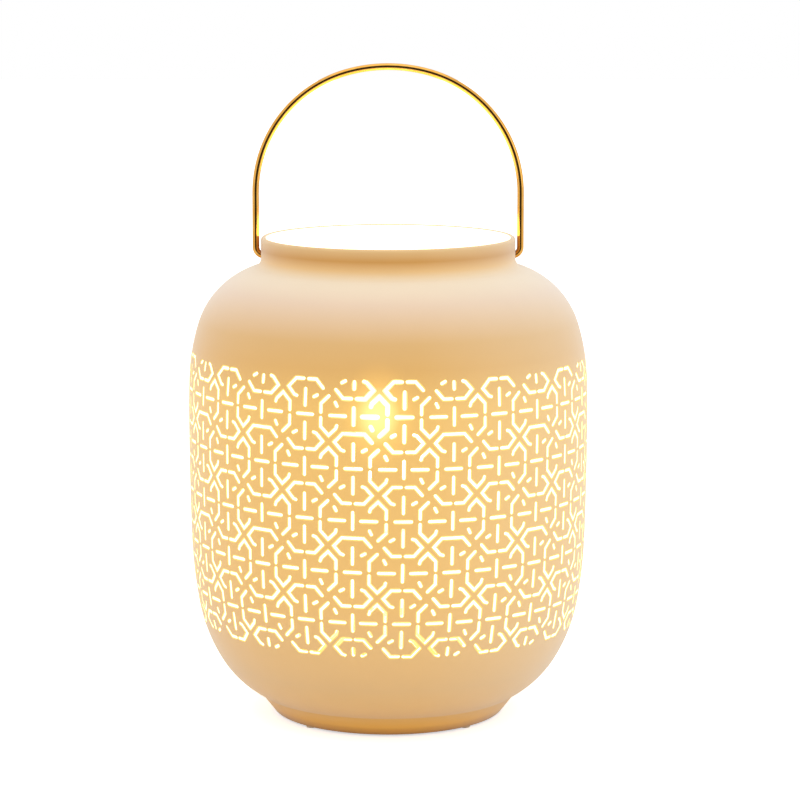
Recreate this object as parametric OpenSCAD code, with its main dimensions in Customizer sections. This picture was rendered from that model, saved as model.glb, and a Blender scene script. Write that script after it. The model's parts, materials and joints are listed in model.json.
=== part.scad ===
// Porcelain lantern table lamp with a wire carrying handle.
// Millimetres, +Z up. The origin is on the table, under the centre of the foot.
// The handle stands upright in the XZ plane, and the cable leaves at the back, +Y.

/* [Porcelain body] */
// Greatest outer radius, at the belly
belly_r = 100; // [94:0.5:108]
// Height of the greatest radius above the underside of the foot
belly_h = 150.5; // [140:0.5:160]
// Height of the rim's top above the underside of the foot
rim_h = 240.4; // [232:0.2:250]
// Outer radius of the neck
neck_r = 63.4; // [58:0.2:68]
// Length of the straight part of the neck, with its rim
neck_len = 10.5; // [8:0.5:16]
// Radius of the hollow between the shoulder and the neck
neck_fillet = 5; // [3:0.5:7]
// Thickness of the porcelain wall
wall = 3; // [2.4:0.1:4]
// Radius of the long curve just above the belly
above_belly_r = 500; // [300:10:800]
// Radius of the long curve just below the belly
below_belly_r = 2100; // [1200:50:2600]
// Radius of the curve that draws the side in under the long one
side_r = 246; // [200:2:280]

/* [Foot] */
// Outer radius of the flat that the foot stands on
foot_r = 56.7; // [52:0.1:60]
// Height of the foot's tapered outside
foot_h = 9.7; // [7:0.1:12]
// Radius of the foot's lower edge
foot_round = 2; // [1:0.1:3]
// Radius of the hollow between the foot and the bowl
foot_fillet = 4; // [2:0.5:6]
// Width of the flat that the foot stands on, with its rounded edge
foot_w = 7.2; // [5:0.1:9]
// Depth of the recess under the floor
recess_h = 10; // [9:0.5:13]
// Thickness of the floor
floor_t = 4; // [3:0.5:6]
// Width of the cable notch at the back of the foot
notch_w = 7; // [5:0.5:10]
// Height of the cable notch at its crown
notch_h = 6.5; // [5:0.5:8]
// Diameter of each rubber foot
pad_d = 5; // [3.5:0.5:6]
// Thickness of each rubber foot
pad_t = 1; // [0.5:0.1:2]
// Number of rubber feet
pad_count = 4; // [3:1:8]

/* [Handle] */
// Diameter of the handle's wire
wire_d = 3.4; // [2.5:0.1:4.5]
// Gap between each leg and the neck
leg_gap = 0.8; // [0.5:0.1:3]
// Height of the crown of the handle above the underside of the foot
handle_h = 326.3; // [300:1:350]
// How much larger the crown's radius is than that of the arcs beside it
crown_more = 13.5; // [6:0.25:20]
// Radius of the bend above each pivot, to the middle of the wire
bend_r = 4; // [3:0.5:5]
// Height of the pivots above the underside of the foot
pivot_h = 231; // [230:0.2:234]
// How far each wire end reaches past the neck's inner wall
wire_past = 2.5; // [1:0.5:6]
// Radial clearance of the wire in its hole
pivot_clear = 0.08; // [0.03:0.01:0.1]
// Gap between the wire's bend and the rounded mouth of its hole
mouth_clear = 0.3; // [0.15:0.05:0.4]

/* [Fixing through the floor] */
// Outer diameter of the threaded tube
tube_d = 10; // [8:0.5:12]
// Bore of the threaded tube
tube_bore = 7.6; // [5:0.1:7.8]
// Clearance round what passes through the floor
floor_clear = 0.4; // [0.2:0.1:1]
// Clearance of the threads
thread_clear = 0.06; // [0.03:0.01:0.1]
// Thickness of the rubber seals
seal_t = 1.5; // [1:0.1:2]
// Diameter of the rubber seals
seal_d = 24; // [18:1:36]
// Thickness of the steel washer
washer_t = 1.2; // [0.8:0.1:2]
// Diameter of the steel washer
washer_d = 22; // [16:1:30]
// Width across the flats of the nut
nut_af = 14; // [13:0.5:17]
// Thickness of the nut
nut_t = 3; // [2:0.5:4]
// How far the tube shows below the nut
tube_past = 0.8; // [0.2:0.1:1]
// Length of the spacer between the floor and the lampholder
spacer_l = 28; // [18:1:34]
// Outer diameter of the spacer
spacer_d = 16; // [14:0.5:20]

/* [Lampholder] */
// Outer diameter of the lampholder
holder_d = 27; // [26:0.5:32]
// Thickness of the lampholder's outer wall
holder_wall = 1.9; // [1.5:0.1:2.2]
// Diameter of the lampholder's collar on the tube
collar_d = 16; // [15:0.5:20]
// Length of the bore that takes the tube
collar_l = 10; // [8:0.5:14]
// Height of the lower half of the lampholder
base_l = 20; // [18:0.5:26]
// Height of the upper half of the lampholder
skirt_l = 28; // [27.5:0.5:34]
// How far the upper half reaches into the lower one
spigot_l = 5; // [3:0.5:5]
// Thickness of the floor of the insulating core
core_floor = 5; // [4:0.5:7]
// Diameter of the grub screw that locks the tube
lock_d = 3; // [2:0.5:4]
// Diameter of the terminal screws
terminal_d = 2.6; // [2:0.2:3]
// Side of each terminal block
terminal_w = 5; // [4:0.2:5.4]

/* [Bulb] */
// Outer diameter of the screw cap
cap_d = 13.8; // [13:0.1:14]
// Length of the screw cap's metal shell
cap_l = 19; // [17:0.5:20]
// Gap between the screw cap and the threaded sleeve
cap_clear = 0.25; // [0.15:0.05:0.4]
// Thickness of the threaded sleeve
sleeve_t = 0.5; // [0.3:0.05:0.6]
// Length of the bulb's white housing
housing_l = 30; // [25:1:36]
// Greatest diameter of the bulb
bulb_d = 35; // [30:1:45]
// Radius of the flame shape's side
flame_r = 48; // [44:1:60]
// Slope at which the flame shape ends in its round tip
flame_slope = 45; // [35:1:50]
// Thickness of the bulb's glass and housing
bulb_wall = 1.2; // [0.8:0.1:1.6]
// Thickness of the boards in the bulb
board_t = 1.6; // [1:0.1:2]
// Number of light chips
chip_count = 8; // [4:1:12]
// Side of each light chip
chip_w = 2.8; // [2:0.1:3.2]

/* [Hidden] */
smooth = 180;
fine = 72;
// What a cut reaches past the face that it opens
over = 1;

// Colours as the lit lamp shows them
porcelain_colour = "#f2dcc0";
gold_colour = "#dca046";
steel_colour = "#b9bcc0";
brass_colour = "#c9a24a";
rubber_colour = "#4a4a4c";
white_colour = "#f4f3ee";
board_colour = "#dfe8df";
glow_colour = "#fff6d8";

// ---- Heights ----
foot_z = pad_t;
rim_z = foot_z + rim_h;
neck_z = rim_z - neck_len;
pivot_z = foot_z + pivot_h;
belly_z = foot_z + belly_h;
under_floor_z = foot_z + recess_h;
floor_z = under_floor_z + floor_t;

// ---- The body's side: arcs that run into each other ----
// Slope from the vertical where the arcs meet, going up to the neck and down to the foot
up_slopes = [0, 2.3, 17.3, 73];
down_slopes = [0, 1.6, 9.8, 31, 61];
foot_slope = 38;

// How far an arc of radius 1 moves in and along while its slope goes from a to b
function inward(a, b) = cos(a) - cos(b);
function along(a, b) = sin(b) - sin(a);

// The radii of two arcs, over the slopes a to b to c, that together move by [dr, dz]
function two_radii(a, b, c, dr, dz) =
    let (d = inward(a, b) * along(b, c) - inward(b, c) * along(a, b))
    [(dr * along(b, c) - inward(b, c) * dz) / d, (inward(a, b) * dz - along(a, b) * dr) / d];

// Where the arcs end: at the hollow under the neck, and at the hollow over the foot
neck_slope = up_slopes[3];
shoulder_end = [neck_r + neck_fillet * inward(0, neck_slope), neck_z - neck_fillet * sin(neck_slope)];
bowl_slope = down_slopes[4];
taper_start = [foot_r + foot_round * cos(foot_slope), foot_z + foot_round * (1 - sin(foot_slope))];
taper_end = [taper_start[0] + (foot_z + foot_h - taper_start[1]) * tan(foot_slope), foot_z + foot_h];
bowl_end = taper_end + foot_fillet * [inward(foot_slope, bowl_slope), along(foot_slope, bowl_slope)];

shoulder_radii = two_radii(up_slopes[1], up_slopes[2], neck_slope,
    belly_r - above_belly_r * inward(0, up_slopes[1]) - shoulder_end[0],
    shoulder_end[1] - belly_z - above_belly_r * along(0, up_slopes[1]));
bowl_radii = two_radii(down_slopes[2], down_slopes[3], bowl_slope,
    belly_r - below_belly_r * inward(0, down_slopes[1])
        - side_r * inward(down_slopes[1], down_slopes[2]) - bowl_end[0],
    belly_z - below_belly_r * along(0, down_slopes[1])
        - side_r * along(down_slopes[1], down_slopes[2]) - bowl_end[1]);

// Each arc is [centre, radius, first slope, last slope, way], where way is 1 going up and -1 going down
function side_arcs(at, way, radii, slopes, i = 0) = i == len(radii) ? [] :
    let (c = at - radii[i] * [cos(slopes[i]), way * sin(slopes[i])])
    concat([[c, radii[i], slopes[i], slopes[i + 1], way]],
        side_arcs(c + radii[i] * [cos(slopes[i + 1]), way * sin(slopes[i + 1])], way, radii, slopes, i + 1));

// ---- The body's profile: one outline, whose round stretches are set out in steps of about slope_step ----
slope_step = 2.5;
function steps(a, b) = max(1, ceil(abs(b - a) / slope_step));
// Points on a circle from slope a to slope b, without the first; way is 1 where z grows with the slope
function bend_points(c, r, a, b, way) = let (n = steps(a, b))
    [for (i = [1 : n]) let (s = a + (b - a) * i / n) c + r * [cos(s), way * sin(s)]];
function arc_points(a, t) = bend_points(a[0], a[1] - t, a[2], a[3], a[4]);
function flipped(list) = [for (i = [len(list) - 1 : -1 : 0]) list[i]];

// From the belly up to the neck, and down to the foot's fillet, set in by t
up_arcs = side_arcs([belly_r, belly_z], 1, concat([above_belly_r], shoulder_radii), up_slopes);
down_arcs = side_arcs([belly_r, belly_z], -1, concat([below_belly_r, side_r], bowl_radii), down_slopes);
function up_side(t) = [for (a = up_arcs) each arc_points(a, t)];
function down_side(t) = [for (a = down_arcs) each arc_points(a, t)];
function belly_point(t) = [[belly_r - t, belly_z]];

// The hollow under the neck curves the other way, round a centre outside the wall
function neck_hollow(t) = let (n = steps(0, neck_slope), c = [neck_r + neck_fillet, neck_z])
    [for (i = [1 : n]) let (s = neck_slope * (1 - i / n)) c - (neck_fillet + t) * [cos(s), sin(s)]];
foot_hollow_centre = bowl_end + foot_fillet * [cos(bowl_slope), -sin(bowl_slope)];
function foot_hollow() = let (n = steps(foot_slope, bowl_slope)) [for (i = [1 : n])
    let (s = bowl_slope + (foot_slope - bowl_slope) * i / n)
    foot_hollow_centre + foot_fillet * [-cos(s), sin(s)]];
foot_edge = bend_points([foot_r, foot_z + foot_round], foot_round, foot_slope, 90, -1);
rim_step = 15;
rim_points = [for (s = [0 : rim_step : 180])
    [neck_r - wall / 2, rim_z - wall / 2] + wall / 2 * [cos(s), sin(s)]];
recess_r = foot_r + foot_round - foot_w;

outer_side = concat(flipped(concat(down_side(0), foot_hollow(), [taper_start], foot_edge)),
    belly_point(0), up_side(0), neck_hollow(0));
// The inside starts where the wall stands on the floor
inner_side = [for (p = concat(flipped(down_side(wall)), belly_point(wall), up_side(wall), neck_hollow(wall)))
    if (p[1] > floor_z) p];
inner_foot_r = lookup(floor_z, [for (p = flipped(down_side(wall))) [p[1], p[0]]]);
recess = [[0, under_floor_z], [recess_r + recess_h * tan(foot_slope), under_floor_z], [recess_r, foot_z]];
shell_outline = concat(recess, outer_side, rim_points, flipped(inner_side),
    [[inner_foot_r, floor_z], [0, floor_z]]);

module cable_notch() {
    translate([0, foot_r + 2 * foot_h, 0]) rotate([90, 0, 0]) linear_extrude(4 * foot_h) {
        translate([-notch_w / 2, -over]) square([notch_w, over + foot_z + notch_h - notch_w / 2]);
        intersection() {
            translate([0, foot_z + notch_h - notch_w / 2]) circle(d = notch_w, $fn = fine);
            translate([-notch_w / 2, foot_z + notch_h - notch_w / 2]) square([notch_w, notch_w]);
        }
    }
}

// The hole's outer mouth is rounded to follow the bend, which turns in it as the handle swings
module pivot_mouth() translate([bend_x, 0, pivot_z]) rotate([0, 90, 0])
    rotate_extrude($fn = fine) difference() {
        square([bend_r, neck_r + over - bend_x]);
        translate([bend_r, 0]) circle(r = bend_r - wire_d / 2 - mouth_clear, $fn = fine);
    }

module porcelain_shell() color(porcelain_colour) difference() {
    rotate_extrude($fn = smooth) polygon(shell_outline);
    pivot_mouth();
    mirror([1, 0, 0]) pivot_mouth();
    translate([0, 0, under_floor_z - over])
        cylinder(d = tube_d + 2 * floor_clear, h = floor_t + 2 * over, $fn = fine);
    translate([-neck_r - over, 0, pivot_z]) rotate([0, 90, 0])
        cylinder(r = wire_d / 2 + pivot_clear, h = 2 * (neck_r + over), $fn = fine);
    cable_notch();
}

// The rubber feet stand on the middle of the foot's flat
pad_ring_r = foot_r - (foot_w - foot_round) / 2;
module rubber_feet() color(rubber_colour) for (i = [0 : pad_count - 1])
    rotate(45 + i * 360 / pad_count) translate([pad_ring_r, 0, 0]) cylinder(d = pad_d, h = pad_t, $fn = fine);

// ---- Handle: a crown, two side arcs, two legs, two bends and two pivots ----
// The crown meets each side arc along the 7-24-25 direction. Sizes are set out to a hundredth, and far
// points along that direction in steps of 25, so that neighbouring stretches of the wire meet exactly.
meet = [0.28, 0.96];
function hundredth(v) = round(v * 100) / 100;
function whole(v) = 25 * ceil(v / 25);
leg_x = hundredth(neck_r + leg_gap + wire_d / 2);
more_r = round(crown_more * 4) / 4;
side_arc_r = leg_x - more_r * meet[0];
crown_r = side_arc_r + more_r;
// Heights in the handle are counted from the centre of the crown's circle
crown_centre_z = foot_z + handle_h - wire_d / 2 - crown_r;
side_centre = more_r * meet;
bend_z = hundredth(pivot_z + bend_r - crown_centre_z);
bend_x = leg_x - bend_r;
leg_len = side_centre[1] - bend_z;
wire_end = hundredth(neck_r - wall - wire_past);

// A ring of wire round a centre in the XZ plane, kept only inside the outline
module wire_arc(centre, r, outline) translate([centre[0], 0, centre[1]]) rotate([90, 0, 0]) intersection() {
    rotate_extrude($fn = smooth) translate([r, 0]) circle(d = wire_d, $fn = fine);
    translate([0, 0, -wire_d]) linear_extrude(2 * wire_d) polygon(outline);
}

module handle_half() {
    reach = whole(3 * side_arc_r);
    bend_reach = 2 * bend_r + wire_d;
    wire_arc(side_centre, side_arc_r, [[0, 0], [reach, 0], [reach, reach * meet[1]], reach * meet]);
    translate([leg_x, 0, bend_z]) cylinder(d = wire_d, h = leg_len, $fn = fine);
    wire_arc([bend_x, bend_z], bend_r, [[0, 0], [0, -bend_reach], [bend_reach, -bend_reach], [bend_reach, 0]]);
    translate([wire_end, 0, bend_z - bend_r]) rotate([0, 90, 0])
        cylinder(d = wire_d, h = bend_x - wire_end, $fn = fine);
}

module carry_handle() color(gold_colour) translate([0, 0, crown_centre_z]) {
    crown_reach = whole(2 * crown_r);
    wire_arc([0, 0], crown_r, [[0, 0], crown_reach * meet, crown_reach * [-meet[0], meet[1]]]);
    handle_half();
    mirror([1, 0, 0]) handle_half();
}

// ---- Fixing: a threaded tube clamps the lampholder through the floor ----
washer_z = under_floor_z - seal_t - washer_t;
nut_z = washer_z - nut_t;
tube_z = nut_z - tube_past;
spacer_z = floor_z + seal_t;
holder_z = spacer_z + spacer_l;
// The tube ends a little short of the end of the lampholder's bore
tube_short = 1;
tube_l = holder_z + collar_l - tube_short - tube_z;

// A flat ring that stands at height z
module ring(d_out, d_in, h, z) rotate_extrude($fn = fine)
    translate([d_in / 2, z]) square([(d_out - d_in) / 2, h]);

loose_d = tube_d + 2 * floor_clear;
thread_d = tube_d + 2 * thread_clear;

module threaded_tube() color(steel_colour) ring(tube_d, tube_bore, tube_l, tube_z);
module fixing_nut() color(brass_colour) translate([0, 0, nut_z]) difference() {
    cylinder(d = nut_af / cos(30), h = nut_t, $fn = 6);
    translate([0, 0, -over]) cylinder(d = thread_d, h = nut_t + 2 * over, $fn = fine);
}
module steel_washer() color(steel_colour) ring(washer_d, loose_d, washer_t, washer_z);
module lower_seal() color(rubber_colour) ring(seal_d, loose_d, seal_t, washer_z + washer_t);
module upper_seal() color(rubber_colour) ring(seal_d, loose_d, seal_t, floor_z);
module spacer_tube() color(white_colour) ring(spacer_d, loose_d, spacer_l, spacer_z);

// ---- Lampholder ----
holder_r = holder_d / 2;
base_top = holder_z + base_l;
skirt_top = base_top + skirt_l;
spigot_r = holder_r - holder_wall - thread_clear;
core_r = spigot_r - holder_wall + 0.8;
core_z = base_top - 2;
core_gap = 0.2;
sleeve_r = cap_d / 2 + cap_clear;
sleeve_top = skirt_top - 3.5;
sleeve_lip = 1;
core_bore_r = sleeve_r + sleeve_t + core_gap;
mouth_r = sleeve_r + 2;
lock_z = holder_z + collar_l / 3;

module holder_base() color(white_colour) difference() {
    rotate_extrude($fn = fine) polygon([[thread_d / 2, holder_z], [collar_d / 2, holder_z],
        [collar_d / 2, holder_z + collar_l / 2], [holder_r, holder_z + collar_l],
        [holder_r, base_top], [holder_r - holder_wall, base_top],
        [holder_r - holder_wall, holder_z + collar_l], [thread_d / 2, holder_z + collar_l]]);
    translate([0, 0, lock_z]) rotate([0, 90, 0])
        cylinder(d = lock_d + 2 * thread_clear, h = collar_d, $fn = fine);
}

lock_gap = 0.05;
lock_l = (collar_d - tube_d) / 2;
module lock_screw() color(steel_colour)
    translate([tube_d / 2 + lock_gap, 0, lock_z]) rotate([0, 90, 0]) difference() {
        cylinder(d = lock_d, h = lock_l, $fn = fine);
        translate([-lock_d, -lock_d / 10, lock_l - lock_d / 4]) cube([2 * lock_d, lock_d / 5, lock_d]);
    }

module holder_skirt() color(white_colour) rotate_extrude($fn = fine)
    polygon([[core_r + core_gap, base_top - spigot_l], [spigot_r, base_top - spigot_l], [spigot_r, base_top],
        [holder_r, base_top], [holder_r, skirt_top - 1], [holder_r - 1, skirt_top], [mouth_r, skirt_top],
        [mouth_r, skirt_top - holder_wall], [core_r + core_gap, skirt_top - holder_wall]]);

module holder_core() color(white_colour) rotate_extrude($fn = fine)
    polygon([[0, core_z], [core_r, core_z], [core_r, sleeve_top], [core_bore_r, sleeve_top],
        [core_bore_r, core_z + core_floor], [0, core_z + core_floor]]);

module screw_shell() color(brass_colour) rotate_extrude($fn = fine)
    polygon([[sleeve_r, core_z + core_floor + 2], [sleeve_r + sleeve_t, core_z + core_floor + 2],
        [sleeve_r + sleeve_t, sleeve_top], [sleeve_r + sleeve_t + sleeve_lip, sleeve_top],
        [sleeve_r + sleeve_t + sleeve_lip, sleeve_top + sleeve_t], [sleeve_r, sleeve_top + sleeve_t]]);

// The spring tongue rises from its root on the core's floor to the bulb's tip
contact_z = core_z + core_floor;
contact_rise = 2;
contact_t = 0.4;
contact_w = 5;
contact_reach = cap_d / 3;
module centre_contact() color(brass_colour) translate([0, contact_w / 2, 0]) rotate([90, 0, 0])
    linear_extrude(contact_w) polygon([[-contact_reach, contact_z], [contact_reach, contact_z],
        [contact_reach, contact_z + contact_t], [-contact_reach / 2, contact_z + contact_t],
        [contact_reach / 2, contact_z + contact_rise - contact_t],
        [contact_reach / 2, contact_z + contact_rise],
        [-contact_reach, contact_z + 2 * contact_t]]);

terminal_x = core_r - terminal_w;
terminal_h = 4.5;
screw_head = 1.6;
module terminal_blocks() color(brass_colour) for (side = [-1, 1]) difference() {
    translate([side * terminal_x - terminal_w / 2, -terminal_w / 2, core_z - terminal_h])
        cube([terminal_w, terminal_w, terminal_h]);
    translate([side * terminal_x, 0, core_z - terminal_h - over])
        cylinder(d = terminal_d + 2 * thread_clear, h = terminal_h, $fn = fine);
}
module terminal_screws() color(steel_colour) for (side = [-1, 1]) difference() {
    translate([side * terminal_x, 0, core_z - terminal_h - screw_head]) union() {
        cylinder(d = terminal_w - 0.6, h = screw_head, $fn = fine);
        translate([0, 0, screw_head]) cylinder(d = terminal_d, h = terminal_h - 1.5, $fn = fine);
    }
    translate([side * terminal_x - terminal_w / 2, -0.35, core_z - terminal_h - screw_head - over])
        cube([terminal_w, 0.7, over + 0.7]);
}

// ---- Bulb: it screws into the sleeve and stands just clear of the tongue ----
tip_gap = 0.3;
tip_z = contact_z + contact_rise + tip_gap;
tip_h = 1;
insulator_h = 2;
cap_z = tip_z + tip_h + insulator_h;
housing_z = cap_z + cap_l;
globe_z = housing_z + housing_l;
bulb_r = bulb_d / 2;
neck_bulb_r = cap_d / 2 + 1;
// The globe's widest point, and the height of the flame's round tip
wide_z = globe_z + bulb_d / 4;
globe_foot_r = radius_of_flame(globe_z, 0);
function radius_of_flame(z, t) = bulb_r - flame_r + sqrt(pow(flame_r - t, 2) - pow(z - wide_z, 2));
function flame_top_z(t) = wide_z + (flame_r - t) * sin(flame_slope);
function flame_top_r(t) = bulb_r - flame_r + (flame_r - t) * cos(flame_slope);

module bulb_tip() color(steel_colour) rotate_extrude($fn = fine)
    polygon([[0, tip_z], [2, tip_z], [2.6, tip_z + 0.6], [2.6, tip_z + tip_h], [0, tip_z + tip_h]]);
module bulb_insulator() color(rubber_colour) rotate_extrude($fn = fine)
    polygon([[0, tip_z + tip_h], [3, tip_z + tip_h], [cap_d / 2 - 0.8, cap_z], [0, cap_z]]);
// The cap's thin shell is closed below by the insulator
cap_shell = 0.4;
module bulb_cap() color(steel_colour) rotate_extrude($fn = fine)
    polygon([[0, cap_z], [cap_d / 2 - 0.6, cap_z], [cap_d / 2, cap_z + 1], [cap_d / 2, housing_z],
        [cap_d / 2 - cap_shell, housing_z], [cap_d / 2 - cap_shell, cap_z + 1.4], [0, cap_z + 1.4]]);

// The housing has a straight collar below and flares into the globe above
collar_h = housing_l / 6;
flare_w = bulb_wall / 0.6;
module bulb_housing() color(white_colour) rotate_extrude($fn = fine)
    polygon([[cap_d / 2 - cap_shell, housing_z], [neck_bulb_r, housing_z],
        [neck_bulb_r, housing_z + collar_h],
        [globe_foot_r - flare_w, board_z], [globe_foot_r, globe_z], [globe_foot_r - bulb_wall, globe_z],
        [globe_foot_r - flare_w - bulb_wall, board_z],
        [neck_bulb_r - bulb_wall, housing_z + collar_h + bulb_wall],
        [cap_d / 2 - cap_shell, housing_z + bulb_wall]]);

board_r = globe_foot_r - flare_w - bulb_wall;
board_z = globe_z - housing_l / 6;
module led_board() color(board_colour) difference() {
    translate([0, 0, board_z]) cylinder(r = board_r, h = board_t, $fn = fine);
    translate([0, 0, board_z - over]) cylinder(d = chip_w, h = board_t + 2 * over, $fn = fine);
}
module led_chips() color(glow_colour) for (i = [0 : chip_count - 1]) rotate(i * 360 / chip_count)
    translate([board_r * 0.66, 0, board_z + board_t + 0.4]) cube([chip_w, chip_w, 0.8], center = true);
driver_w = cap_d - 3;
driver_l = board_z - housing_z - 2;
module driver_board() color(board_colour)
    translate([-driver_w / 2, -board_t / 2, board_z - driver_l]) cube([driver_w, board_t, driver_l]);

module flame_profile(t) {
    round_r = flame_top_r(t) / cos(flame_slope);
    intersection() {
        translate([bulb_r - flame_r, wide_z]) circle(r = flame_r - t, $fn = 2 * smooth);
        translate([0, globe_z]) square([bulb_d, flame_top_z(t) - globe_z]);
    }
    intersection() {
        translate([0, flame_top_z(t) - round_r * sin(flame_slope)]) circle(r = round_r, $fn = fine);
        translate([0, flame_top_z(t)]) square([bulb_d, bulb_d]);
    }
}
module bulb_globe() color(glow_colour) rotate_extrude($fn = fine) difference() {
    flame_profile(0);
    flame_profile(bulb_wall);
}

porcelain_shell();
carry_handle();
rubber_feet();
threaded_tube();
fixing_nut();
steel_washer();
lower_seal();
upper_seal();
spacer_tube();
lock_screw();
holder_base();
holder_skirt();
holder_core();
terminal_blocks();
terminal_screws();
screw_shell();
centre_contact();
bulb_cap();
bulb_insulator();
bulb_tip();
bulb_housing();
driver_board();
led_board();
led_chips();
bulb_globe();
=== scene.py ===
# %% [markdown]
# # A pierced porcelain lantern lamp
# This lesson dresses a table lamp: a barrel of matt white porcelain, pierced with a lattice of small
# slots, lit by one bulb inside, with a swinging handle of gold wire.
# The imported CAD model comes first. It fixes every size and place, so nothing here is fitted by eye.
# Its porcelain body is plain, so that one piece is modelled anew, in the same place and with the
# lattice cut through it. The handle and the fittings keep their CAD shapes and take a finish each.

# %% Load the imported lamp
import bpy
import json
from math import sin, cos, radians, pi, ceil, atan2
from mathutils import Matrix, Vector

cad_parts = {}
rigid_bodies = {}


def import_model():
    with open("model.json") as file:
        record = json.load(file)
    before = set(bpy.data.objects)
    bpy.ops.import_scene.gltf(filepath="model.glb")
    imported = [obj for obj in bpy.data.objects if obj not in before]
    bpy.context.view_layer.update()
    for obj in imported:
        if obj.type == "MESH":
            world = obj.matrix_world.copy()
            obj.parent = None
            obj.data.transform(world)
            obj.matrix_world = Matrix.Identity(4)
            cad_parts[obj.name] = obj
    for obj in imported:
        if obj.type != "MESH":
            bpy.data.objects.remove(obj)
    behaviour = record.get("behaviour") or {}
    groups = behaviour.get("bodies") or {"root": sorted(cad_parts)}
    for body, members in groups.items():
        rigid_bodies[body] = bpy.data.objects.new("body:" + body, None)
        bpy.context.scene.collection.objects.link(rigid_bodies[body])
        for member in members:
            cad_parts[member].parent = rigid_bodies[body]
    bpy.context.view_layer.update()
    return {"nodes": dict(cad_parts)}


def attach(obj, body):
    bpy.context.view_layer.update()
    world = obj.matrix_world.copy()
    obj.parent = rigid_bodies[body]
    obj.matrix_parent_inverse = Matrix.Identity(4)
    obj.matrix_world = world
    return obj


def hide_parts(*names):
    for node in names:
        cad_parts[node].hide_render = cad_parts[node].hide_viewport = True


MM = 0.001
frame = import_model()
nodes = frame["nodes"]
scene = bpy.context.scene

# %% [markdown]
# ## The camera
# The photograph was taken with a long lens from a step away, a little above the rim, so that the
# mouth shows as a thin ellipse. The ellipse of the rim, the ellipse of the foot and the outline's
# width between them fix the distance, the height and the tilt. A long lens keeps the sides of the
# lamp upright, which a near, wide lens would not.

# %% Camera at the photograph's place
LENS_MM, FILM_WIDTH_MM, LOOK_DOWN = 137.6, 36, 9.01
camera_data = bpy.data.cameras.new("studio_camera")
camera_data.lens = LENS_MM
camera_data.sensor_width = FILM_WIDTH_MM
camera = bpy.data.objects.new("studio_camera", camera_data)
scene.collection.objects.link(camera)
camera.location = (0.0059, -1.518, 0.3995)
camera.rotation_euler = (radians(90 - LOOK_DOWN), 0, 0)
scene.camera = camera
print("camera at", tuple(camera.location), "lens", camera_data.lens)

# %% [markdown]
# ## Even white light, and a dark room in reflections
# A world of strength 1 lights the lamp evenly, so that each colour shows about as it is written.
# What a bright metal mirrors matters as much as what lights it: a wire that mirrors white on all
# sides looks like plastic. So the world behind the camera goes dark, but only in reflections, which
# Light Path's Is Glossy Ray picks out. That darkness draws the dark line along the gold wire.

# %% White world, dark behind the camera in reflections
BEHIND_CAMERA = (0, -1, 0.08)
DARK_FROM, DARK_FULL, DARK_LEVEL = 0.72, 0.88, 0.03


def add(tree, kind, **values):
    """Adds a node to a tree, with the values that are given by name."""
    node = tree.nodes.new(kind)
    for key, value in values.items():
        setattr(node, key, value)
    return node


scene.view_settings.view_transform = "Standard"
world = bpy.data.worlds.new("white_studio")
scene.world = world
world.use_nodes = True
room = world.node_tree
sky = room.nodes["Background"]
sky.inputs["Color"].default_value = (1, 1, 1, 1)
look = add(room, "ShaderNodeTexCoord")
way = add(room, "ShaderNodeVectorMath", operation="DOT_PRODUCT")
way.inputs[1].default_value = BEHIND_CAMERA
behind = add(room, "ShaderNodeMapRange")
behind.inputs["From Min"].default_value = DARK_FROM
behind.inputs["From Max"].default_value = DARK_FULL
mirrored = add(room, "ShaderNodeLightPath")
shade = add(room, "ShaderNodeMath", operation="MULTIPLY")
level = add(room, "ShaderNodeMapRange")
level.inputs["To Min"].default_value = 1.0
level.inputs["To Max"].default_value = DARK_LEVEL
room.links.new(look.outputs["Generated"], way.inputs[0])
room.links.new(way.outputs["Value"], behind.inputs["Value"])
room.links.new(behind.outputs["Result"], shade.inputs[0])
room.links.new(mirrored.outputs["Is Glossy Ray"], shade.inputs[1])
room.links.new(shade.outputs[0], level.inputs["Value"])
room.links.new(level.outputs["Result"], sky.inputs["Strength"])
print("world strength 1, but", DARK_LEVEL, "where a reflection looks behind the camera")

# %% [markdown]
# ## Two soft panels
# Light that comes from everywhere leaves a barrel flat. Two wide, weak panels give it a little form,
# one overhead and a cooler one at the right, as soft boxes do over a product table. Their strength
# is written as a share of the world's, so that all three lights are easy to compare.

# %% Panels overhead and at the right
def panel(name, place, aim, size, share, colour=(1, 1, 1)):
    """A square panel of light that faces a point; its radiance is a share of the world's 1."""
    light = bpy.data.lights.new(name, "AREA")
    light.size = size
    light.color = colour
    light.energy = share * pi * size * size
    lamp = bpy.data.objects.new(name, light)
    scene.collection.objects.link(lamp)
    lamp.location = place
    lamp.rotation_euler = (Vector(aim) - Vector(place)).to_track_quat("-Z", "Y").to_euler()
    print(name, "is", size, "m wide, at", place)


panel("panel_overhead", place=(0, -0.1, 1.5), aim=(0, 0, 0.2), size=1.2, share=0.5)
panel("panel_right", place=(1.3, -0.7, 0.6), aim=(0, 0, 0.15), size=0.8, share=0.7, colour=(0.75, 0.9, 1.0))

# %% [markdown]
# ## The white table
# The lamp stands on a plain white table, which keeps its soft shadow. The table ends a step in front
# of the lamp: the upright legs of the wire mirror what lies a little lower than the camera, and past
# the table's edge that is the dark room. White paint alone would render a little grey, so the table
# also glows, but only for the camera, and it meets the white behind it without a line.

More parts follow.
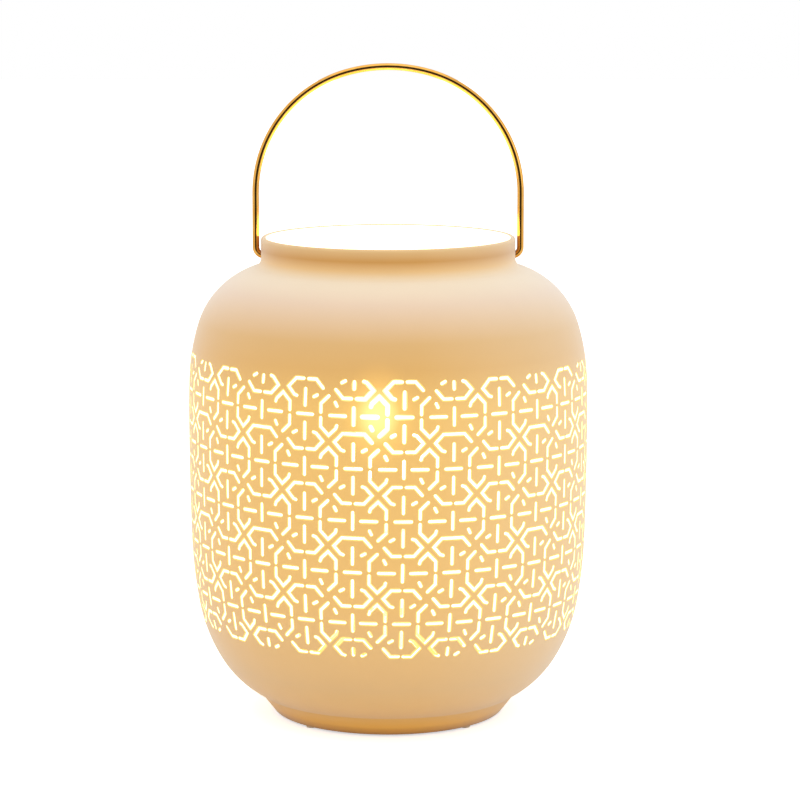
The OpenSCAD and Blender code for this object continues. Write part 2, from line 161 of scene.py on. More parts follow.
# %% White table with a front edge
TABLE_REACH, TABLE_FRONT, TABLE_GLOW = 6.0, -0.8, 0.62
table_corners = [(-TABLE_REACH, TABLE_FRONT, 0), (TABLE_REACH, TABLE_FRONT, 0),
                 (TABLE_REACH, TABLE_REACH, 0), (-TABLE_REACH, TABLE_REACH, 0)]
table_mesh = bpy.data.meshes.new("white_table")
table_mesh.from_pydata(table_corners, [], [(0, 1, 2, 3)])
table = bpy.data.objects.new("white_table", table_mesh)
scene.collection.objects.link(table)
table_white = bpy.data.materials.new("table_white")
table_white.use_nodes = True
tree = table_white.node_tree
paint = tree.nodes["Principled BSDF"]
paint.inputs["Base Color"].default_value = (0.93, 0.93, 0.93, 1)
paint.inputs["Roughness"].default_value = 0.9
paint.inputs["Specular IOR Level"].default_value = 0.0
paint.inputs["Emission Color"].default_value = (1, 1, 1, 1)
ray = add(tree, "ShaderNodeLightPath")
seen = add(tree, "ShaderNodeMath", operation="MULTIPLY")
seen.inputs[1].default_value = TABLE_GLOW
tree.links.new(ray.outputs["Is Camera Ray"], seen.inputs[0])
tree.links.new(seen.outputs[0], paint.inputs["Emission Strength"])
table_mesh.materials.append(table_white)
print("table reaches", TABLE_REACH, "m to the sides and back, and", -TABLE_FRONT, "m to the front")

# %% [markdown]
# ## The side of the barrel
# The barrel is a turned form: slip is cast in a plaster mould that was shaped on a lathe. So one
# outline, spun round the axis, gives the whole body. Its side is a chain of arcs that run into each
# other without a kink, as a turner's profile does: nearly straight at the belt, rounder at the
# shoulder, and a bowl below. A free curve could be drawn instead, but arcs keep to the CAD's sizes
# and can be moved inwards exactly, which gives the inside of the wall.

# %% The arcs of the side, in millimetres
WALL = 3.0
BELT_R, BELT_Z = 100, 151.5
# Each arc: its centre, its radius, the slope at its two ends, and 1 for going up or -1 for going down
SHOULDER_ARCS = [((BELT_R - 500, BELT_Z), 500, 0, 2.3, 1),
                 ((-3.8864, 167.41), 103.567, 2.3, 17.3, 1),
                 ((54.554, 185.612), 42.3576, 17.3, 73, 1)]
BOWL_ARCS = [((BELT_R - 2100, BELT_Z), 2100, 0, 1.6, -1),
             ((-146.723, 99.7333), 246, 1.6, 9.8, -1),
             ((15.835, 71.6547), 81.0349, 9.8, 31, -1),
             ((41.9517, 55.9622), 50.5664, 31, 61, -1)]


def arc(centre, radius, slope_from, slope_to, way, step):
    """Points on an arc, from one slope of the side to the next, at most a step of degrees apart."""
    count = max(1, ceil(abs(slope_to - slope_from) / step))
    points = []
    for i in range(count + 1):
        s = radians(slope_from + (slope_to - slope_from) * i / count)
        points.append((centre[0] + radius * cos(s), centre[1] + way * radius * sin(s)))
    return points


def chain(arcs, inset):
    """The arcs one after another, moved in by the inset; the flatter an arc, the finer its steps."""
    points = []
    for centre, radius, slope_from, slope_to, way in arcs:
        step = 0.25 if radius > 400 else 0.8 if radius > 200 else 2.0
        points += arc(centre, radius - inset, slope_from, slope_to, way, step)[1:]
    return points


def body_side(inset):
    """From the foot's hollow up to the hollow under the neck."""
    return chain(BOWL_ARCS, inset)[::-1] + [(BELT_R - inset, BELT_Z)] + chain(SHOULDER_ARCS, inset)


outer_side = body_side(0)
print("side from", outer_side[0], "to", outer_side[-1], "in", len(outer_side), "points")

# %% [markdown]
# ## Foot, neck and rim
# Poured slip leaves no sharp corner, so small arcs join the foot, the neck and the rim to the body:
# a hollow over the foot, a hollow under the neck, and a rim as round as the wall is thick. A recess
# under the floor lets the foot stand on a ring. The inside runs one wall's thickness behind the
# outside, down to the floor.

# %% The whole outline, closed
RIM_Z, NECK_R, NECK_Z, NECK_HOLLOW = 241.4, 63.4, 230.9, 5
FOOT_Z, FOOT_R, FOOT_ROUND, FOOT_SLOPE = 1.0, 56.7, 2, 38
FOOT_HOLLOW, BOWL_SLOPE = 4, 61
FLOOR_Z, UNDER_FLOOR_Z, RECESS_TOP_R, RECESS_R = 15.0, 11.0, 59.3, 51.5


def radius_at(z, side):
    """The side's radius at a height, between two points of the outline."""
    for (r0, z0), (r1, z1) in zip(side, side[1:]):
        if z0 <= z <= z1:
            return r0 + (r1 - r0) * (z - z0) / (z1 - z0)
    return side[0][0] if z < side[0][1] else side[-1][0]


def round_part(centre, radius, slopes, across=1, up=1):
    """Points of a small arc; across and up are -1 where it lies inwards of or below its centre."""
    return [(centre[0] + across * radius * cos(radians(s)), centre[1] + up * radius * sin(radians(s)))
            for s in slopes]


def neck_hollow(inset):
    """The hollow between the shoulder and the neck, moved in by the inset."""
    centre = (NECK_R + NECK_HOLLOW, NECK_Z)
    return round_part(centre, NECK_HOLLOW + inset, (64, 55, 46, 37, 28, 19, 10, 0), across=-1, up=-1)


recess = [(0, UNDER_FLOOR_Z), (RECESS_TOP_R, UNDER_FLOOR_Z), (RECESS_R, FOOT_Z)]
foot_edge = round_part((FOOT_R, FOOT_Z + FOOT_ROUND), FOOT_ROUND, (90, 78, 66, 54, 44, FOOT_SLOPE), up=-1)
hollow_centre = (outer_side[0][0] + FOOT_HOLLOW * cos(radians(BOWL_SLOPE)),
                 outer_side[0][1] - FOOT_HOLLOW * sin(radians(BOWL_SLOPE)))
foot_hollow = round_part(hollow_centre, FOOT_HOLLOW, (FOOT_SLOPE, 44, 50, 56), across=-1)
outside = foot_edge + foot_hollow + outer_side + neck_hollow(0)
rim = round_part((NECK_R - WALL / 2, RIM_Z - WALL / 2), WALL / 2, range(0, 181, 15))
inner_side = [p for p in body_side(WALL) + neck_hollow(WALL) if p[1] > FLOOR_Z + 1]
inside = inner_side[::-1] + [(radius_at(FLOOR_Z, body_side(WALL)), FLOOR_Z), (0, FLOOR_Z)]
print("outline:", len(outside), "points outside,", len(inside), "inside")

# %% [markdown]
# ## Spinning the outline
# Blender's Screw modifier or Spin tool could turn the outline. Here the rings are joined in code,
# because the outside and the inside take different finishes: the outside is lit by the room and
# glows softly, and the inside is flooded by the bulb. Each ring of faces gets the number of its
# finish. The last steps of the rim already face the bulb, so they count as inside.

# %% A turned solid from the outline
OUTSIDE, INSIDE, CUT, LIP, HALO = range(5)
TURNS, LIT_RIM_STEPS = 312, 4


def turned(name, outline, finish_of):
    """Spins a chain of (radius, height) points; a radius of 0 closes the form at the axis."""
    around = [(cos(2 * pi * i / TURNS), sin(2 * pi * i / TURNS)) for i in range(TURNS)]
    points, rings, faces, finishes = [], [], [], []
    for r, z in outline:
        if r == 0:
            rings.append([len(points)] * TURNS)
            points.append((0, 0, z * MM))
        else:
            rings.append(list(range(len(points), len(points) + TURNS)))
            points += [(r * MM * x, r * MM * y, z * MM) for x, y in around]
    for k, (low, high) in enumerate(zip(rings, rings[1:])):
        for i in range(TURNS):
            j = (i + 1) % TURNS
            corners = []
            for corner in (low[i], low[j], high[j], high[i]):
                if corner not in corners:
                    corners.append(corner)
            faces.append(corners)
            finishes.append(finish_of(k))
    mesh = bpy.data.meshes.new(name)
    mesh.from_pydata(points, [], faces)
    mesh.polygons.foreach_set("material_index", finishes)
    body = bpy.data.objects.new(name, mesh)
    scene.collection.objects.link(body)
    return body


first_inside = len(recess + outside + rim) - LIT_RIM_STEPS
porcelain = turned("pierced_porcelain", recess + outside + rim + inside,
                   lambda k: INSIDE if k >= first_inside else OUTSIDE)
print("blank body:", len(porcelain.data.polygons), "faces")

# %% [markdown]
# ## The strokes of one cell
# The lattice is drawn as a wallpaper of square cells. A cell holds a dash in its middle, a dash at
# each side, and on each side of those a long bend, a short bend and a stub. The bends of four cells
# join into an octagon, and the thin bridge between a long and a short bend holds the porcelain
# together. All strokes are written as shares of the cell, so the pattern can be stretched over the
# curve. Half a cell is written out, and a half turn gives the rest.

# %% An upright cell and a lying cell
NEAR, FAR, BRIDGE = 0.335, 0.665, 0.048
half_cell = {
    "side_dash": [(0.16, 0), (0.48, 0)],
    "long_bend": [(NEAR, 0.185), (0.355, 0.245), (0.5, 0.38), (FAR, 0.22), (FAR, BRIDGE)],
    "short_bend": [(FAR, -BRIDGE), (FAR, -0.22), (0.505, -0.37)],
    "stub": [(NEAR, -0.18), (0.375, -0.255)],
}
MIDDLE_DASH = [(0, -0.165), (0, 0.165)]


def quarter_turn(stroke):
    """The stroke after a quarter turn about the middle of the cell."""
    return [(-v, u) for u, v in stroke]


def half_turn(stroke):
    """The stroke after a half turn about the middle of the cell."""
    return [(-u, -v) for u, v in stroke]


upright_cell = [MIDDLE_DASH]
for stroke in half_cell.values():
    upright_cell += [stroke, half_turn(stroke)]
lying_cell = [quarter_turn(stroke) for stroke in upright_cell]
print(len(upright_cell), "strokes in a cell")

# %% [markdown]
# ## A cell for every place
# There are 26 columns round the body and five rows. Every second cell is turned by a quarter. In the
# odd rows the top of each octagon has no bridge, so its two bends are one. Half cells close the
# lattice at the top and at the bottom.

# %% Which cell goes where
COLUMNS, ROWS = 26, 5
HALF_DASH, OUTER_HALF = (0.345, 0.485), 0.3
long_top = quarter_turn(half_cell["long_bend"])
short_top = quarter_turn(half_cell["short_bend"])
joined_top = long_top[:-1] + [(0, FAR), (0.22, FAR), (0.37, 0.505)]
joined_cell = [joined_top] + [stroke for stroke in lying_cell if stroke not in (long_top, short_top)]


def half_row(way):
    """The part of a lying cell that shows above (way 1) or below (way -1) its middle."""
    bends = [stroke for stroke in lying_cell if min(way * v for u, v in stroke) > OUTER_HALF]
    return bends + [[(0, way * v) for v in HALF_DASH]]


def cell_at(column, row):
    """The strokes of one place; row -1 is the half row at the top, row ROWS the one at the bottom."""
    lying = (column + row) % 2 == 0
    if row in (-1, ROWS):
        return half_row(-1 if row == -1 else 1) if lying else []
    if not lying:
        return upright_cell
    return joined_cell if row % 2 == 1 else lying_cell


print(COLUMNS, "columns,", ROWS, "rows,", len(half_row(1)), "strokes in a half cell")

# %% [markdown]
# ## From a stroke to the outline of a slot
# A slot is a stroke with a width and round ends, as the tip of a cutting tool leaves it. A curve
# with a bevel could give the same band. Here the band's outline is computed, because a slot needs
# several such outlines, one over the other, with the same number of points.

# %% Outline of a slot
def left_of(way):
    """A quarter turn to the left."""
    return Vector((-way.y, way.x))


def slot_outline(stroke, half_width, end_reach, scale):
    """The closed outline of a stroke with mitred bends and round ends, in millimetres."""
    points = [Vector((u * scale[0], v * scale[1])) for u, v in stroke]
    ways = [(b - a).normalized() for a, b in zip(points, points[1:])]
    back = [-way for way in ways[::-1]]

    def one_side(points, ways):
        side = [points[0] + left_of(ways[0]) * half_width]
        for p, before, after in zip(points[1:-1], ways, ways[1:]):
            middle = (left_of(before) + left_of(after)).normalized()
            side.append(p + middle * half_width / middle.dot(left_of(after)))
        return side + [points[-1] + left_of(ways[-1]) * half_width]

    def round_end(p, way):
        return [p + left_of(way) * cos(a) * half_width + way * sin(a) * end_reach
                for a in (pi / 4, pi / 2, 3 * pi / 4)]

    around = (one_side(points, ways) + round_end(points[-1], ways[-1])
              + one_side(points[::-1], back) + round_end(points[0], back[-1]))
    return around[::-1]


print("a dash has", len(slot_outline(MIDDLE_DASH, 1, 1, (1, 1))), "points")

# %% [markdown]
# ## The depth of a slot
# A slot becomes a small closed prism, a stack of such outlines that reaches straight towards the
# axis, right through the wall. The rings near the surface are wider. They round the mouth, because
# the edges of fired clay are never knife sharp, and they give each slot a shallow ring, where light
# from inside the thin edge shows as a warm line. Each step between two rings has its own finish.
# The whole lattice also leans to the right by less than a degree, as it does on this lamp.

# %% Rings of a slot, and a point on the wall
FIRST_COLUMN, PITCH, TOP_ROW = 4.3, 25.05, 166.3
LEAN, LEAN_Z = radians(0.7), TOP_ROW - 2 * PITCH
SLOT, EDGE, HALO_DIP, HALO_WIDTH, HALO_END = 1.27, 0.2, 0.05, 0.5, 0.3
PAST_INSIDE, SKIN, PAST_OUTSIDE = WALL + 1.5, -0.02, -0.3
lip_width = EDGE - HALO_DIP
# Each ring: its depth under the surface, what it adds to the slot's half width, and to its ends
RINGS = [(PAST_INSIDE, 0, 0), (EDGE, 0, 0), (HALO_DIP, lip_width, lip_width),
         (SKIN, lip_width + HALO_WIDTH, HALO_END), (PAST_OUTSIDE, lip_width + HALO_WIDTH, HALO_END)]
RING_FINISHES = [CUT, LIP, HALO, HALO]


def on_wall(angle, z, depth):
    """A point at a depth under the surface, after the lattice has leaned over about the Y axis."""
    r = radius_at(z, outer_side)
    x, y = r * sin(angle), -r * cos(angle)
    leaned_x = x * cos(LEAN) + (z - LEAN_Z) * sin(LEAN)
    leaned_z = (z - LEAN_Z) * cos(LEAN) - x * sin(LEAN) + LEAN_Z
    leaned_r = radius_at(leaned_z, outer_side) - depth
    leaned_angle = atan2(leaned_x, -y)
    return (leaned_r * MM * sin(leaned_angle), -leaned_r * MM * cos(leaned_angle), leaned_z * MM)


print("a slot is", SLOT, "mm wide and", 2 * (SLOT / 2 + lip_width), "mm at its mouth")

# %% [markdown]
# ## All the slots as one cutter
# One mesh holds every prism, so that a single cut pierces the whole wall. For that, each prism must be
# closed, its faces must look outwards, and no two may touch.

# %% Prisms for the whole lattice
cutter_points, cutter_faces, cutter_finishes = [], [], []


def add_prism(rings, finishes):
    """Joins rings of points, each counter-clockwise about their way, to a closed prism."""
    start, n = len(cutter_points), len(rings[0])
    last = start + (len(rings) - 1) * n
    for ring in rings:
        cutter_points.extend(ring)
    cutter_faces.append(list(range(start, start + n))[::-1])
    cutter_faces.append(list(range(last, last + n)))
    cutter_finishes.extend([finishes[0], finishes[-1]])
    for first, finish in zip(range(start, last, n), finishes):
        for i in range(n):
            j = (i + 1) % n
            cutter_faces.append([first + i, first + j, first + n + j, first + n + i])
            cutter_finishes.append(finish)


slot_count = 0
for column in range(COLUMNS):
    turn = radians(FIRST_COLUMN + column * 360 / COLUMNS)
    for row in range(-1, ROWS + 1):
        z_mid = TOP_ROW - row * PITCH
        r_mid = radius_at(z_mid, outer_side)
        scale = (2 * pi * r_mid / COLUMNS, PITCH)
        for stroke in cell_at(column, row):
            rings = []
            for depth, wider, longer in RINGS:
                flat = slot_outline(stroke, SLOT / 2 + wider, SLOT / 2 + longer, scale)
                rings.append([on_wall(turn + p.x / r_mid, z_mid + p.y, depth) for p in flat])
            add_prism(rings, RING_FINISHES)
            slot_count += 1
print(slot_count, "slots with", len(cutter_points), "points")

# %% [markdown]
# ## The plain holes
# The body has a few plain holes as well: a notch in the back of the foot for the cable, a hole
# through the floor for the threaded tube, and the two pivot holes of the handle. The mouth of a
# pivot hole widens in a curve, so that the bend of the wire can swing in it. They join the same
# cutter.

# %% Notch, floor hole and pivot holes
NOTCH_R, NOTCH_Z, NOTCH_Y = 3.5, 4.0, (37.3, 76.1)
FLOOR_HOLE_R, FLOOR_HOLE_Z = 5.4, (10, 16)
PIVOT_R, PIVOT_Z, PIVOT_X = 1.78, 232.0, (57, 64.4)
MOUTH_X, MOUTH_ROUND = 61.9, 2.0
HOLE_SIDES = 48


def add_hole(rings, finish):
    """A plain hole from rings of points in millimetres; its wall takes one finish."""
    metres = [[(x * MM, y * MM, z * MM) for x, y, z in ring] for ring in rings]
    add_prism(metres, [finish] * (len(rings) - 1))


circle = [(cos(2 * pi * i / HOLE_SIDES), sin(2 * pi * i / HOLE_SIDES)) for i in range(HOLE_SIDES)]
crown = [(-NOTCH_R * cos(radians(a)), NOTCH_Z + NOTCH_R * sin(radians(a))) for a in range(0, 181, 10)]
notch = [(NOTCH_R, -1), (-NOTCH_R, -1)] + crown
add_hole([[(x, y, z) for x, z in notch] for y in NOTCH_Y], OUTSIDE)
add_hole([[(FLOOR_HOLE_R * c, FLOOR_HOLE_R * s, z) for c, s in circle] for z in FLOOR_HOLE_Z], INSIDE)
mouth = [(MOUTH_X + MOUTH_ROUND * sin(radians(a)), 2 * MOUTH_ROUND - MOUTH_ROUND * cos(radians(a)))
         for a in range(0, 91, 10)]
pivot = [(PIVOT_X[0], PIVOT_R), (MOUTH_X - 0.05, PIVOT_R)] + mouth + [(PIVOT_X[1], 2 * MOUTH_ROUND)]
for side in (-1, 1):
    add_hole([[(side * x, side * r * c, PIVOT_Z + r * s) for c, s in circle] for x, r in pivot], OUTSIDE)
print("cutter:", len(cutter_points), "points,", len(cutter_faces), "faces")

# %% [markdown]
# ## Piercing the wall
# A Boolean modifier takes the prisms away from the blank, as the potter cuts the leather-hard clay.
# The manifold solver does this in seconds for a thousand closed prisms that don't touch each other.
# The modifier is then applied, so that the pierced body is a plain mesh. The turned faces are shaded
# smooth, and the faces of the cuts stay flat.

# %% Cut the slots and holes
cutter_mesh = bpy.data.meshes.new("slots")
cutter_mesh.from_pydata(cutter_points, [], cutter_faces)
cutter_mesh.polygons.foreach_set("material_index", cutter_finishes)
cutter = bpy.data.objects.new("slots", cutter_mesh)
scene.collection.objects.link(cutter)
for finish in ("outside", "inside", "cut", "lip", "halo"):
    placeholder = bpy.data.materials.new("finish_" + finish)
    porcelain.data.materials.append(placeholder)
    cutter_mesh.materials.append(placeholder)
piercing = porcelain.modifiers.new("pierce", "BOOLEAN")
piercing.operation = "DIFFERENCE"
piercing.solver = "MANIFOLD"
piercing.object = cutter
pierced = bpy.data.meshes.new_from_object(porcelain.evaluated_get(bpy.context.evaluated_depsgraph_get()))
porcelain.modifiers.clear()
porcelain.data = pierced
bpy.data.objects.remove(cutter)
pierced.name = "pierced_porcelain"
for polygon in pierced.polygons:
    polygon.use_smooth = polygon.material_index in (OUTSIDE, INSIDE)
pierced.set_sharp_from_angle(angle=radians(32))
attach(porcelain, "lamp")
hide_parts("porcelain_shell")
print("pierced body:", len(pierced.polygons), "faces,", len(pierced.vertices), "points")

# %% [markdown]
# ## Helpers for finishes
# A finish is a small tree of nodes that ends in the Principled shader. A few helpers keep each tree
# short: colours are written as a screen shows them, noise has its grain in millimetres, and places
# are measured along the object's own axes, so that a finish stays on the piece when it moves.

# %% Colours, grain and places
def from_screen(r, g, b):
    """A colour as a screen shows it, 0 to 255, as the linear colour that a shader takes."""
    def linear(v):
        v /= 255
        return v / 12.92 if v <= 0.04045 else ((v + 0.055) / 1.055) ** 2.4
    return (linear(r), linear(g), linear(b), 1.0)


def new_finish(name):
    """A new material, its tree of nodes and its shader."""
    finish = bpy.data.materials.new(name)
    finish.use_nodes = True
    tree = finish.node_tree
    return finish, tree, tree.nodes["Principled BSDF"]


def grain(tree, size_mm, detail=3.0):
    """Noise whose grains are about size_mm across, fixed to the object."""
    where = add(tree, "ShaderNodeTexCoord")
    noise = add(tree, "ShaderNodeTexNoise")
    noise.inputs["Scale"].default_value = 1000 / size_mm
    noise.inputs["Detail"].default_value = detail
    tree.links.new(where.outputs["Object"], noise.inputs["Vector"])
    return noise.outputs["Fac"]


def share_along(tree, axis, low_mm, high_mm):
    """0 at the low place and 1 at the high one, along the object's own X, Y or Z."""
    where = add(tree, "ShaderNodeTexCoord")
    split = add(tree, "ShaderNodeSeparateXYZ")
    share = add(tree, "ShaderNodeMapRange")
    share.inputs["From Min"].default_value = low_mm * MM
    share.inputs["From Max"].default_value = high_mm * MM
    tree.links.new(where.outputs["Object"], split.inputs["Vector"])
    tree.links.new(split.outputs[axis], share.inputs["Value"])
    return share.outputs["Result"]


print("screen grey 128 is", from_screen(128, 128, 128)[0], "to a shader")

# %% [markdown]
# A ramp turns a share or noise into colours, and two noises over each other give a surface its slight
# unevenness. A bump gives the touch of the surface without changing its mesh. A shine is light that
# the surface sends out itself, here the bulb's light that comes through or off the clay.

# %% Ramps, unevenness, bump and shine
BLACK, WHITE = (0, 0, 0, 1), (1, 1, 1, 1)


def ramp(tree, factor, stops):
    """A colour ramp from a list of (place, colour)."""
    node = add(tree, "ShaderNodeValToRGB")
    bar = node.color_ramp.elements
    while len(bar) > 1:
        bar.remove(bar[-1])
    bar[0].position, bar[0].color = stops[0]
    for place, colour in stops[1:]:
        bar.new(place).color = colour
    tree.links.new(factor, node.inputs["Fac"])
    return node.outputs["Color"]


def two_tone(tree, noise, dark, light):
    """Two colours, written as a screen shows them, that run into each other over the noise."""
    return ramp(tree, noise, [(0.3, from_screen(*dark)), (0.7, from_screen(*light))])


def varied(tree, colour, noise, amount, dark=0.9):
    """The colour, a little darker where the noise is low."""
    node = add(tree, "ShaderNodeMix", data_type="RGBA", blend_type="MULTIPLY")
    node.inputs["Factor"].default_value = amount
    tree.links.new(colour, node.inputs["A"])
    tree.links.new(ramp(tree, noise, [(0.3, (dark, dark, dark, 1)), (0.7, WHITE)]), node.inputs["B"])
    return node.outputs["Result"]


def bump(tree, shader, noise, depth_mm, strength):
    """Small hills and dips in the shading, as high as the noise."""
    node = add(tree, "ShaderNodeBump")
    node.inputs["Strength"].default_value = strength
    node.inputs["Distance"].default_value = depth_mm * MM
    tree.links.new(noise, node.inputs["Height"])
    tree.links.new(node.outputs["Normal"], shader.inputs["Normal"])


def shine(tree, shader, colour, strength):
    """Light of a colour that the surface sends out."""
    tree.links.new(colour, shader.inputs["Emission Color"])
    shader.inputs["Emission Strength"].default_value = strength


print("finish helpers ready")

# %% [markdown]
# ## Matt porcelain, lit from inside
# Unglazed porcelain lets a little light through. With the bulb on, its wall turns amber where it is
# near the bulb or seen through more of the wall, and stays creamy where the room's light falls on
# the shoulder. Real light through a thin wall would take far more samples to render. The soft changes
# follow the height, so a ramp over the height paints them into the base colour, in the colours of the
# lit lamp, with painted shade along the bottom edge of the foot. A little painted light, the cool
# panel's white, pales the right side, and cloudy mottling and the fine grain of fired clay come over it.

# %% The colours of the outside
BODY_TOP = 242
# The stops are painted light and shade: amber glow through the wall, cream where the room's light falls, and
# painted shade at the foot's bottom edge
# Each stop: its name, its height in millimetres, and its colour
OUTSIDE_COLOURS = [
    ("foot_edge", 0, (150, 98, 40)), ("foot", 2.6, (214, 150, 44)),
    ("foot_middle", 6, (244, 182, 62)), ("foot_top", 12, (232, 180, 96)),
    ("low_bowl", 18, (232, 184, 110)), ("bowl", 30, (224, 182, 122)),
    ("low_band", 58, (232, 187, 122)), ("band_low", 75, (238, 190, 114)),
    ("band_top", 170, (243, 194, 108)), ("over_the_band", 188, (224, 175, 102)),
    ("low_shoulder", 200, (221, 177, 115)), ("shoulder", 217, (228, 200, 171)),
    ("shoulder_top", 225.5, (237, 219, 190)), ("hollow", 230.5, (234, 192, 132)),
    ("neck", 235.5, (204, 148, 74)), ("rim", 241.4, (226, 188, 132))]
# Painted light: the right side is mixed towards a pale cool white, as if lit by the cool panel at the right
COOL_FROM, COOL_TO, COOL_SHARE, COOL_WHITE = 15, 75, 0.15, (226, 222, 208)
clay, tree, shader = new_finish("porcelain_outside")
stops = [(z / BODY_TOP, from_screen(*rgb)) for name, z, rgb in OUTSIDE_COLOURS]
colour = ramp(tree, share_along(tree, "Z", 0, BODY_TOP), stops)
cool = ramp(tree, share_along(tree, "X", COOL_FROM, COOL_TO), [(0, BLACK), (1, (COOL_SHARE,) * 3 + (1,))])
painted_right_light = add(tree, "ShaderNodeMix", data_type="RGBA")
painted_right_light.inputs["B"].default_value = from_screen(*COOL_WHITE)
tree.links.new(cool, painted_right_light.inputs["Factor"])
tree.links.new(colour, painted_right_light.inputs["A"])
mottled = varied(tree, painted_right_light.outputs["Result"], grain(tree, 14, detail=2), 0.3, 0.96)
tree.links.new(mottled, shader.inputs["Base Color"])
shader.inputs["Roughness"].default_value = 0.5
shader.inputs["Specular IOR Level"].default_value = 0.25
shader.inputs["Sheen Weight"].default_value = 0.5
shader.inputs["Sheen Roughness"].default_value = 0.5
bump(tree, shader, grain(tree, 1.1), 0.05, 0.25)
print("outside ramp with", len(stops), "stops")

# %% [markdown]
# ## The glare of the bulb
# Towards the front the bulb shines straight through a small part of the wall, which glows, and its
# slots turn white. A soft ball of influence, placed on the wall in front of the bulb, says how
# strong that glare is. The outside takes it here, and the slot edges take it below.

# %% A soft ball of glare
GLARE_PLACE, GLARE_REACH = (-4.5, -99, 167), (21, 30, 28)


def bulb_glare(tree):
    """1 at the place of the glare, falling softly to 0 at its reach in millimetres."""
    where = add(tree, "ShaderNodeTexCoord")
    off = add(tree, "ShaderNodeVectorMath", operation="SUBTRACT")
    off.inputs[1].default_value = [v * MM for v in GLARE_PLACE]
    share = add(tree, "ShaderNodeVectorMath", operation="DIVIDE")
    share.inputs[1].default_value = [v * MM for v in GLARE_REACH]
    far = add(tree, "ShaderNodeVectorMath", operation="LENGTH")
    mask = add(tree, "ShaderNodeMapRange", interpolation_type="SMOOTHSTEP")
    mask.inputs["To Min"].default_value = 1.0
    mask.inputs["To Max"].default_value = 0.0
    tree.links.new(where.outputs["Object"], off.inputs[0])
    tree.links.new(off.outputs[0], share.inputs[0])
    tree.links.new(share.outputs[0], far.inputs[0])
    tree.links.new(far.outputs["Value"], mask.inputs["Value"])
    return mask.outputs["Result"]


glare = ramp(tree, bulb_glare(tree), [(0, BLACK), (0.5, from_screen(120, 92, 30)),
                                      (1, from_screen(215, 200, 130))])
shine(tree, shader, glare, 1.0)
pierced.materials[OUTSIDE] = clay
print("glare at", GLARE_PLACE, "mm on", clay.name)

# %% [markdown]
# ## The flooded inside
# The inside wall faces the bulb and shines far brighter than the room, so the camera sees it white.
# A painted shine just under white, over the clay's own pale colour, does that. Down at the floor the
# lampholder stands in the way of the bulb, so there the shine fades, and the base colour turns warmer
# and darker as painted shade.

# %% The inside of the wall
lit_clay, tree, shader = new_finish("porcelain_inside")
above_floor = share_along(tree, "Z", 14, 34)
# The base colour is painted darker and warmer towards the floor, as the lampholder's shade
clay_with_floor_shade = ramp(tree, above_floor, [(0, from_screen(206, 158, 92)), (0.5, from_screen(238, 208, 150)),
                                     (1, from_screen(250, 240, 215))])
glow = ramp(tree, above_floor, [(0.05, from_screen(20, 12, 4)), (0.5, from_screen(180, 160, 110)),
                                (1, from_screen(255, 253, 234))])
tree.links.new(clay_with_floor_shade, shader.inputs["Base Color"])
shader.inputs["Roughness"].default_value = 0.6
shine(tree, shader, varied(tree, glow, grain(tree, 20, detail=1), 0.5, 0.94), 0.95)
pierced.materials[INSIDE] = lit_clay
print("inside finish:", lit_clay.name)

# %% [markdown]
# ## The edges of the slots
# The walls of a slot catch the bulb's light nearly as the inside does. Its softened mouth and the
# shallow ring round it are lit through the clay instead, so they are a warmer yellow, and the
# further out, the weaker. Where the bulb glares, both turn white. Those two differ in their colours
# only, so one helper makes them.

# %% Slot walls, mouths and rings
cut_clay, tree, shader = new_finish("porcelain_slot_wall")
shader.inputs["Base Color"].default_value = from_screen(250, 240, 205)
shader.inputs["Roughness"].default_value = 0.6
shine(tree, shader, two_tone(tree, grain(tree, 3, detail=1), (255, 250, 212), (255, 252, 228)), 0.75)
pierced.materials[CUT] = cut_clay


def edge_clay(name, lit_edge_colour, far_from_bulb, near_bulb):
    """Clay painted in a warm lit colour, that shines in one colour far from the bulb, in another near it,
    and white in its glare.
    """
    finish, tree, shader = new_finish(name)
    shader.inputs["Base Color"].default_value = from_screen(*lit_edge_colour)
    shader.inputs["Roughness"].default_value = 0.6
    glow = ramp(tree, bulb_glare(tree), [(0, from_screen(*far_from_bulb)), (0.4, from_screen(*near_bulb)),
                                         (1, WHITE)])
    shine(tree, shader, varied(tree, glow, grain(tree, 3, detail=1), 0.5), 1.0)
    return finish


# Painted light: the yellow base colours and shines of the slot mouths and rings stand for light through the
# thin clay
pierced.materials[LIP] = edge_clay("porcelain_slot_lip", (250, 222, 150), (150, 128, 66), (255, 240, 170))
pierced.materials[HALO] = edge_clay("porcelain_round_slots", (248, 208, 118), (112, 94, 36), (220, 205, 130))
print(len(pierced.materials), "finishes on the porcelain")

# %% [markdown]
# ## The gold handle
# The handle is one steel wire, bent to an arch and plated in a gold colour. Its true round section is
# in the CAD piece already, so it only takes a finish: bright metal, a little uneven in colour, with
# the fine texture that plating leaves. It is smooth enough to mirror the dark room as a line.

# %% Gold wire
def dress(node, finish):
    """Gives a CAD piece its finish, in every slot that it has."""
    places = nodes[node].material_slots
    for place in places:
        place.material = finish
    if not places:
        nodes[node].data.materials.append(finish)
    print(node, "is dressed in", finish.name)


gold, tree, shader = new_finish("gold_wire")
plating = two_tone(tree, grain(tree, 6), (226, 164, 72), (238, 180, 92))
tree.links.new(varied(tree, plating, grain(tree, 0.6), 0.3, 0.85), shader.inputs["Base Color"])
shader.inputs["Metallic"].default_value = 1.0
shader.inputs["Roughness"].default_value = 0.12
bump(tree, shader, grain(tree, 0.5), 0.02, 0.2)
dress("carry_handle", gold)

# %% [markdown]
# ## Finishes of the fittings
# A screw-cap bulb stands in a white lampholder on a short spacer. Only its glow shows through the
# slots, but the bulb lifts out, so each fitting has the finish of the real one: moulded plastic,
# plated steel, brass, rubber. They are all plain materials of two close tones with a fine grain, so
# one helper makes them.

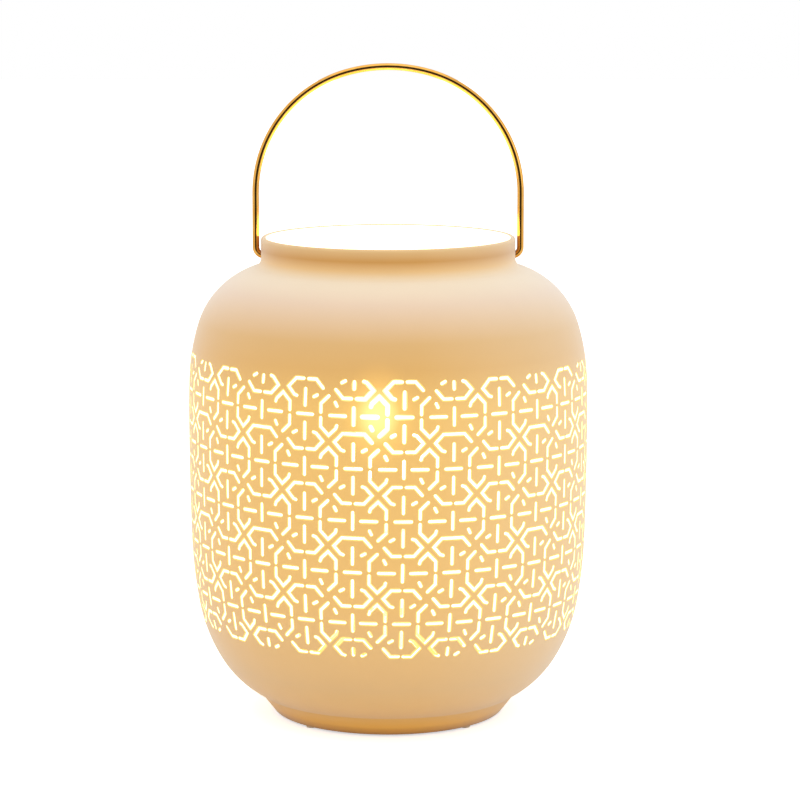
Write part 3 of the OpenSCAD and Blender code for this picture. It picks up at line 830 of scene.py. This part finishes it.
# %% Plastic, metals, rubber and board
def plain_finish(name, light, dark, grain_mm, roughness, metallic=0.0, depth=0.03):
    """A material of two close tones, with a grain and a bump four times finer."""
    finish, tree, shader = new_finish(name)
    tree.links.new(two_tone(tree, grain(tree, grain_mm), dark, light), shader.inputs["Base Color"])
    shader.inputs["Roughness"].default_value = roughness
    shader.inputs["Metallic"].default_value = metallic
    bump(tree, shader, grain(tree, grain_mm / 4), depth, 0.3)
    return finish


moulded_white = plain_finish("moulded_white", (244, 242, 236), (236, 233, 226), 8, 0.42)
zinc = plain_finish("zinc_plate", (196, 198, 202), (176, 178, 182), 3, 0.32, metallic=1.0)
brass = plain_finish("bright_brass", (222, 180, 96), (200, 156, 78), 3, 0.28, metallic=1.0)
rubber = plain_finish("grey_rubber", (78, 78, 80), (64, 64, 66), 2, 0.85, depth=0.08)
soft_pad = plain_finish("clear_soft_pad", (232, 212, 178), (226, 204, 168), 2, 0.4, depth=0.04)
lacquer = plain_finish("board_lacquer", (226, 234, 226), (210, 222, 212), 2, 0.35)
print("six plain finishes")

# %% [markdown]
# ## What shines in the bulb
# The light chips are drops of yellow gel, and the globe over them is opal, which spreads their light
# evenly. The globe's shine is over white, so that it stays the brightest thing behind the slots.

# %% Light chips and opal globe
gel = plain_finish("chip_gel", (250, 214, 96), (244, 200, 80), 1, 0.3)
gel_shader = gel.node_tree.nodes["Principled BSDF"]
gel_shader.inputs["Emission Color"].default_value = from_screen(255, 236, 170)
gel_shader.inputs["Emission Strength"].default_value = 0.8
opal, tree, shader = new_finish("opal_glow")
shader.inputs["Base Color"].default_value = from_screen(255, 250, 235)
shader.inputs["Roughness"].default_value = 0.35
shine(tree, shader, two_tone(tree, grain(tree, 10, detail=1), (255, 250, 226), (255, 253, 240)), 3.0)
print("two finishes that shine:", gel.name, opal.name)

# %% [markdown]
# ## Dressing the fittings
# Each CAD piece now takes the finish of the real piece. A list of finishes, each with its pieces, is
# easier to check against the parts list than a line for each piece.

# %% A finish for every fitting
FITTINGS = [
    (moulded_white, ("spacer_tube", "holder_base", "holder_skirt", "holder_core", "bulb_housing")),
    (zinc, ("threaded_tube", "steel_washer", "lock_screw", "terminal_screws", "bulb_cap", "bulb_tip",
            "fixing_nut")),
    (brass, ("terminal_blocks", "screw_shell", "centre_contact")),
    (rubber, ("lower_seal", "upper_seal")),
    (soft_pad, ("rubber_feet",)),
    (lacquer, ("bulb_insulator", "driver_board", "led_board")),
    (gel, ("led_chips",)),
    (opal, ("bulb_globe",))]
for finish, pieces in FITTINGS:
    for piece in pieces:
        dress(piece, finish)
